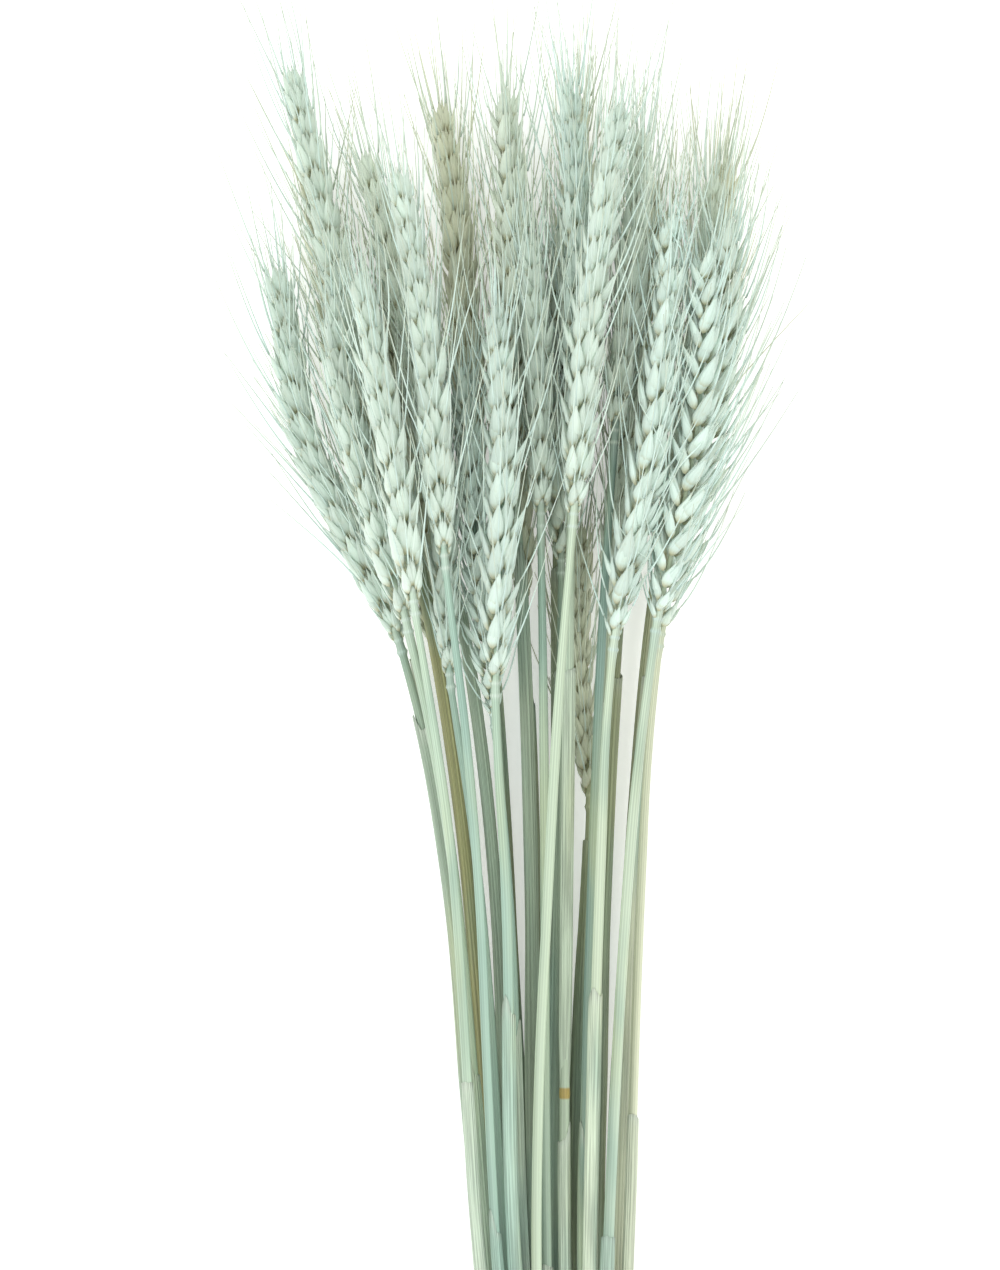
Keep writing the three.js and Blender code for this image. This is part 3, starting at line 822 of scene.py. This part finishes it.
# Degrees from two rows side by side, 0, to one row of broad fans, 90. Most ears lie on the fans of one row.
ROLL = {23: 80, 24: 85, 25: 62, 26: 70, 27: 58, 28: 24, 16: 75, 17: 80, 22: 20}
USUAL_ROLL, ROLL_SPREAD = 68, 20


def growth(share):
    """Size of a spikelet at this share of the ear's length."""
    return np.minimum(1, 0.4 + 4.5 * share) * (1 - 0.3 * np.clip((share - 0.5) / 0.5, 0, 1) ** 1.5)


def spikelets(stalk):
    """Where the spikelets sit: their bases, axes, fan sides, outward ways and sizes."""
    line, neck = stalk["line"], stalk["neck"]
    reach = line.length - neck
    scale = np.clip(stalk["girth"] / FULL_GIRTH, SLIM, STOUT)
    steps = growth(np.linspace(0, 1, 200)) ** -0.7  # smaller spikelets sit closer together
    count = round((reach - FIRST - LAST) / (SPIKELET_STEP * scale) * steps.mean()) + 1
    share = np.interp(np.linspace(0, 1, count), np.cumsum(steps) / steps.sum(), np.linspace(0, 1, 200))
    share = (FIRST + share * (reach - FIRST - LAST)) / reach
    points, way, side, lift = line.frame(neck + share * reach)
    usual = rng.normal(USUAL_ROLL, ROLL_SPREAD)
    roll = np.radians(ROLL.get(stalk["number"], usual) + rng.normal(0, 5, count))[:, None]
    row = side * np.cos(roll) + lift * np.sin(roll)
    turn = np.where(np.arange(count) % 2, 1, -1)[:, None]
    broad = unit(np.cross(way, row))
    lean = SPIKELET_LEAN * (1 - 0.4 * share[:, None]) * rng.uniform(0.8, 1.2, (count, 1))
    axis = np.cos(lean) * way + np.sin(lean) * turn * row
    outward = np.cos(lean) * turn * row - np.sin(lean) * way
    size = growth(share) * scale * rng.uniform(0.95, 1.07, count)
    base = points + turn * row * (OFF_AXIS * size)[:, None]
    axis[-1], outward[-1] = way[-1], row[-1]  # the last spikelet stands straight up
    return base, axis, broad, outward, size, share


# %% Husks of a spikelet
# Offset across the fan, start along it, turn of the back from the fan's side outwards, opening,
# outward lean, length, width and thickness. Millimetres and degrees.
HUSKS = [
    (1.8, 0.0, 28, 15, -1, 8.6, 3.8, 1.9),
    (-1.8, 0.0, 28, 15, -1, 8.6, 3.8, 1.9),
    (1.4, 1.2, 46, 17, 3, 10.6, 3.9, 2.3),
    (-1.4, 1.2, 46, 17, 3, 10.6, 3.9, 2.3),
    (0.7, 2.6, 72, 9, 5, 10.2, 3.5, 2.1),
    (-0.7, 2.6, 72, 9, 5, 10.2, 3.5, 2.1),
    (0.0, 4.0, 90, 4, 7, 9.2, 2.9, 1.9),
]
AWNED = [2, 3, 4, 5]  # the full florets; the glumes and the small middle floret have no awn
BROKEN = 0.22  # share of the awns that have snapped off short
INNER_AWN = 0.75  # share of the length that the awns of the two inner florets have
TABLE_GAP = 0.15 * MM


def turned(first, second, angle):
    """Two directions at right angles, both turned by an angle that takes the first towards the second."""
    cos, sin = np.cos(angle)[:, None], np.sin(angle)[:, None]
    return cos * first + sin * second, cos * second - sin * first


def husk_copies(stalk):
    """All husks of an ear, and the roots, first ways and sizes of its awns."""
    base, axis, broad, outward, size, share = spikelets(stalk)
    copies, roots = [], []
    for kind, (offset, start, turn, opening, lean, long, wide, thick) in enumerate(HUSKS):
        count = len(size)
        hand = math.copysign(1, offset)
        upright, sideways = turned(axis, outward, np.radians(lean + rng.normal(0, 2, count)))
        psi = np.radians(turn + rng.normal(0, 6, count))[:, None]
        back = np.cos(psi) * hand * broad + np.sin(psi) * sideways
        along, back = turned(upright, back, np.radians(opening + rng.normal(0, 3, count)))
        across = np.cross(along, back)
        k = (size * rng.uniform(0.93, 1.07, count))[:, None] * MM
        foot = base + axis * start * k + broad * offset * k + outward * 0.3 * k
        axes = np.stack([across * wide * k, along * long * k, back * thick * k], axis=1)
        copies.append(set_on_axes(husk_template, foot, axes))
        if kind in AWNED:
            whole = np.where(rng.uniform(size=count) < BROKEN, rng.uniform(0.1, 0.45, count), 1)
            whole *= INNER_AWN if abs(offset) < 1 else 1
            roots.append((foot + along * long * 0.96 * k, along, back, share, whole))
    return np.concatenate(copies), [np.concatenate(part) for part in zip(*roots)]


def above_table(copies):
    """Husks of the lowest ears are pressed a little flat by the table."""
    copies[..., 2] = np.maximum(copies[..., 2], TABLE_GAP)
    return copies


for stalk in stalks:
    copies, stalk["awn_roots"] = husk_copies(stalk)
    tints = stalk["husk"] * rng.uniform(0.88, 1.08, (len(copies), 1))
    tints = blend(tints, BEIGE_HUSK, rng.uniform(0, 0.3, len(copies)) ** 2)
    label = stalk["label"]
    piece_of(f"husks_{label}", husk_template, above_table(copies), husk_dyed, f"ear_{label}", tints)
print("husks of the last ear:", len(copies))

# %% [markdown]
# ## Awns
# Every full floret ends in an awn, a stiff bristle several times as long as the floret. It leaves along
# the husk and swings towards the ear's own way. Hair curves would do for a picture, but rods are a mesh
# that others can use. Where an awn comes too close to a neighbouring ear, it is pushed outwards and then
# smoothed, as a bent bristle would lie. This keeps most awns clear, but some still pass through husks.

# %% Awns
AWN_LENGTH, TIP_AWN_LENGTH = 44 * MM, 31 * MM
LOWEST_AWN = 0.72  # share of that length at the ear's foot
AWN_RADIUS = 0.32 * MM
AWN_POINT = 0.72  # share of its radius that an awn loses towards its tip
AWN_SPREAD, TIP_AWN_SPREAD = math.radians(17), math.radians(6)
KNEE = 0.3  # an awn keeps its husk's way for this share of its length
CLEAR_OF_EARS = 0.5 * MM
PUSHES = 4
MOST_HEIGHT = high[2] + 7 * MM
BEAD_STEP = 3 * MM


def awn_lines(stalk):
    """Rows of points, one for each awn of an ear."""
    root, along, back, share, length = stalk["awn_roots"]
    count = len(root)
    line, neck = stalk["line"], stalk["neck"]
    way = line.way(neck + share * (line.length - neck))
    outward = unit(back - (back * way).sum(axis=1, keepdims=True) * way + rng.normal(0, 0.25, (count, 3)))
    usual_spread = AWN_SPREAD + (TIP_AWN_SPREAD - AWN_SPREAD) * share
    spread = (usual_spread + rng.normal(0, math.radians(4), count))[:, None]
    final = unit(np.cos(spread) * way + np.sin(spread) * outward)
    low_ones = LOWEST_AWN + (1 - LOWEST_AWN) * np.clip(share / 0.25, 0, 1)
    usual_length = (AWN_LENGTH + (TIP_AWN_LENGTH - AWN_LENGTH) * share**2) * low_ones
    long = (usual_length * length * rng.uniform(0.8, 1.12, count))[:, None, None]
    t = np.linspace(0, 1, AWN_STEPS)[None, :, None]
    knee = root[:, None] + KNEE * long * along[:, None]
    end = knee + (1 - KNEE) * long * final[:, None]
    sway = rng.normal(0, 1, (count, 1, 3)) * long * 0.05
    return (1 - t) ** 2 * root[:, None] + 2 * t * (1 - t) * knee + t**2 * end + sway * t**2


# %% Clear of the other ears
def beads(stalk):
    """Points along an ear's line, with the ear's radius at each."""
    line, neck = stalk["line"], stalk["neck"]
    distances = np.arange(neck, line.length, BEAD_STEP)
    share = (distances - neck) / (line.length - neck)
    return line.at(distances), stalk["girth"] * growth(share) * 0.95


def keep_clear(rows, owner):
    """Pushes points of awns out of the other ears, from the awn's third point on."""
    weight = np.clip(np.arange(AWN_STEPS) / 3, 0, 1)[None, :, None]
    for _ in range(PUSHES):
        push = np.zeros_like(rows)
        for number, (centres, radii) in ear_beads.items():
            if number == owner:
                continue
            gaps = rows[:, :, None] - centres
            distances = np.linalg.norm(gaps, axis=-1) - radii - CLEAR_OF_EARS
            nearest = distances.argmin(axis=-1)[..., None]
            shortage = np.clip(-np.take_along_axis(distances, nearest, -1), 0, None)
            push += unit(np.take_along_axis(gaps, nearest[..., None], 2)[:, :, 0]) * shortage
        push[:, 1:-1] = (push[:, :-2] + 2 * push[:, 1:-1] + push[:, 2:]) / 4
        rows = rows + push * weight
    rows[..., 2] = np.clip(rows[..., 2], AWN_RADIUS * 1.5, MOST_HEIGHT)
    return rows


def rod_frames(rows):
    """Side and lift directions along rows of points."""
    ways = unit(np.gradient(rows, axis=1))
    side = unit(np.cross(ways, (0.1, 0.2, 1)))
    return side, np.cross(side, ways)


# %% Awns of every ear
ear_beads = {stalk["number"]: beads(stalk) for stalk in stalks}
for stalk in stalks:
    rows = keep_clear(awn_lines(stalk), stalk["number"])
    side, lift = rod_frames(rows)
    t = np.linspace(0, 1, AWN_STEPS)
    radii = AWN_RADIUS * (1 - AWN_POINT * t) * rng.uniform(0.8, 1.15, (len(rows), 1))
    tints = blend(stalk["husk"], COOL_HUSK, rng.uniform(0, 0.6, len(rows)))
    tints = tints * rng.uniform(0.95, 1.15, (len(rows), 1))
    copies = set_along(awn_template, rows, side, lift, radii)
    label = stalk["label"]
    piece_of(f"awns_{label}", awn_template, copies, awn_dyed, f"ear_{label}", tints)
print("awns of the last ear:", len(rows))

# %% [markdown]
# ## Twine
# A few turns of jute hold the bundle near its cut ends. Jute is spun from three strands, so the rod for it
# has a three-lobed section, and each copy's rings turn about its line as they go along it. A bump alone
# would leave the outline of the twine smooth.

# %% Model a length of twine
TWINE_SIDES, TWINE_STEPS = 12, 240
TWINE_RADIUS = 1.05 * MM
LOBES = 3
VALLEY, SLOPE = 0.84, 0.95  # shares of the radius between two strands, and beside that


def model_twine():
    twine = model_rod(TWINE_SIDES, TWINE_STEPS)
    for depth, sides in ((VALLEY, 0), (SLOPE, 1)):
        def in_valley(v):
            share = (math.atan2(v.co.z, v.co.x) / (2 * math.pi) * TWINE_SIDES) % (TWINE_SIDES / LOBES)
            share = round(share) % round(TWINE_SIDES / LOBES)
            return min(share, TWINE_SIDES // LOBES - share) == sides

        pick("VERT", in_valley)
        bpy.ops.transform.resize(value=(depth, 1, depth), center_override=(0, 0, 0))
    return Template(twine)


twine_template = model_twine()

# %% [markdown]
# ## Jute
# Jute is rough, with light and dark brown fibres. Noise stretched on the twine's UV map draws them,
# and a much finer noise makes the fuzz.

# %% Twine finish
JUTE_PALE = (*srgb(205, 178, 132), 1)
JUTE_DARK = (*srgb(138, 108, 68), 1)


def jute_finish():
    jute = new_finish("jute", Roughness=0.9, Specular_IOR_Level=0.2)
    around, place = coordinates(jute, "UV"), coordinates(jute, "Object")
    strands = noise(jute, around, (22, 260, 1), detail=4)
    colour = mixed(jute, remap(jute, strands, 0.3, 0.7, 0.0, 0.8), JUTE_PALE, JUTE_DARK)
    fuzz = noise(jute, place, (2400, 2400, 2400), detail=3)
    finish_shader(jute, colour, maths(jute, "ADD", strands, maths(jute, "MULTIPLY", fuzz, 0.5)), 0.15 * MM)
    return jute


jute = jute_finish()
print("finish:", jute.name)

# %% [markdown]
# ## The binding
# The turns follow the frame's binding, half a thickness inside its outer face, and climb like a spring.
# Each half turn is a copy of its own, so that its steps are fine enough for the twist.

# %% Turns of twine
TURNS = 3
TURN_POINTS = 240
TWIST = 7 * MM  # the strands go once round in about this length
binding_low, binding_high = (np.array(corner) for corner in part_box("tie_binding"))
knot_low, knot_high = (np.array(corner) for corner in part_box("tie_knot"))


def resampled(points, count):
    """Points at equal distances along a row of points."""
    distances = np.concatenate([[0], spacing(points).cumsum()])
    even = np.linspace(0, distances[-1], count)
    return np.stack([np.interp(even, distances, points[:, k]) for k in range(3)], axis=-1), distances[-1]


def twine_copy(points, radii=1.0):
    """A length of twine along points."""
    points, length = resampled(points, TWINE_STEPS + 1)
    rows = points[None]
    side, lift = rod_frames(rows)
    turn = (np.linspace(0, 1, TWINE_STEPS + 1) * round(length / TWIST) * 2 * math.pi)[None, :, None]
    twisted = side * np.cos(turn) + lift * np.sin(turn), lift * np.cos(turn) - side * np.sin(turn)
    return set_along(twine_template, rows, *twisted, TWINE_RADIUS * radii * np.ones((1, TWINE_STEPS + 1)))


def binding_loop(angles):
    """Points of the binding's middle, seen along the straws from these angles."""
    corners = corners_of("tie_binding")[:, [0, 2]]
    ways = np.stack([np.cos(angles), np.sin(angles)], axis=-1)
    outer = corners[(ways @ corners.T).argmax(axis=1)]
    return outer - ways * TWINE_RADIUS * 1.04  # a hair inside, so that no strand stands proud


angles = math.pi / 2 + np.linspace(0, 2 * math.pi * TURNS, TURN_POINTS * TURNS + 1)
loop = binding_loop(angles)
rise = np.linspace(binding_low[1] + TWINE_RADIUS, binding_high[1] - TWINE_RADIUS, len(angles))
spring = np.stack([loop[:, 0], rise, loop[:, 1]], axis=-1)
half_turn = TURN_POINTS // 2
half_turns = [twine_copy(spring[k:k + half_turn + 1]) for k in range(0, len(spring) - 1, half_turn)]
piece_of("twine_turns", twine_template, np.concatenate(half_turns), jute, "tie_binding")
print("twine round the bundle:", TURNS, "turns")

# %% [markdown]
# ## The knot
# The twine's two ends are tied on top. A knot could be drawn point by point, but a formula's knotted
# loop, pulled flat, looks right. Two short tails lie on the straws and end in tufts of loose fibres.

# %% Knot and tails
TAIL_LENGTH = 20 * MM
TAIL_POINTS = 40
FIBRES, FIBRE_RADIUS = 16, 0.09 * MM
centre = (knot_low + knot_high) / 2
half = (knot_high - knot_low) / 2 - TWINE_RADIUS


def knot_path():
    """A closed knotted loop, as wide, long and high as the frame's knot."""
    t = np.linspace(0, 2 * math.pi, TURN_POINTS)
    x = (np.sin(t) + 2 * np.sin(2 * t)) / 3
    y = (np.cos(t) - 2 * np.cos(2 * t)) / 3
    return centre + np.stack([x * half[0], y * half[1], np.sin(3 * t) * half[2]], axis=-1)


def tail_path(hand):
    """From the knot sideways and then back along the straws, resting on them."""
    t = np.linspace(0, 1, TAIL_POINTS)
    x = centre[0] + hand * (half[0] * 0.6 + TAIL_LENGTH * 0.5 * np.sin(t * 1.3))
    y = centre[1] - hand * 1.0 * MM - TAIL_LENGTH * 0.72 * t**1.3
    settle = np.clip(t * 3, 0, 1)
    rest = knot_low[2] - 1.6 * MM + 0.8 * MM * np.sin(t * 7 + hand)
    z = centre[2] * (1 - settle) + (rest + TWINE_RADIUS) * settle
    return np.stack([x, y, z], axis=-1)


def tuft(path):
    """Loose fibres at the end of a tail."""
    tip, way = path[-1], unit(path[-1] - path[-3])
    spread = unit(way + rng.normal(0, 0.28, (FIBRES, 3)))
    t = np.linspace(0, 1, AWN_STEPS)[None, :, None]
    start = tip + rng.normal(0, 0.35 * MM, (FIBRES, 1, 3)) - way * MM
    length = rng.uniform(3, 6, (FIBRES, 1, 1)) * MM
    rows = start + length * (t * way + t**2 * (spread - way)[:, None])
    rows[..., 2] = np.maximum(rows[..., 2], 0.5 * MM)
    side, lift = rod_frames(rows)
    return set_along(awn_template, rows, side, lift, np.full((FIBRES, AWN_STEPS), FIBRE_RADIUS))


tails = [tail_path(hand) for hand in (-1, 1)]
knot_copies = np.concatenate([twine_copy(path) for path in (knot_path(), *tails)])
piece_of("twine_knot", twine_template, knot_copies, jute, "tie_knot")
fibres = np.concatenate([tuft(path) for path in tails])
piece_of("twine_tufts", awn_template, fibres, jute, "tie_knot")
print("tails:", [round(resampled(path, 2)[1] / MM) for path in tails], "mm")
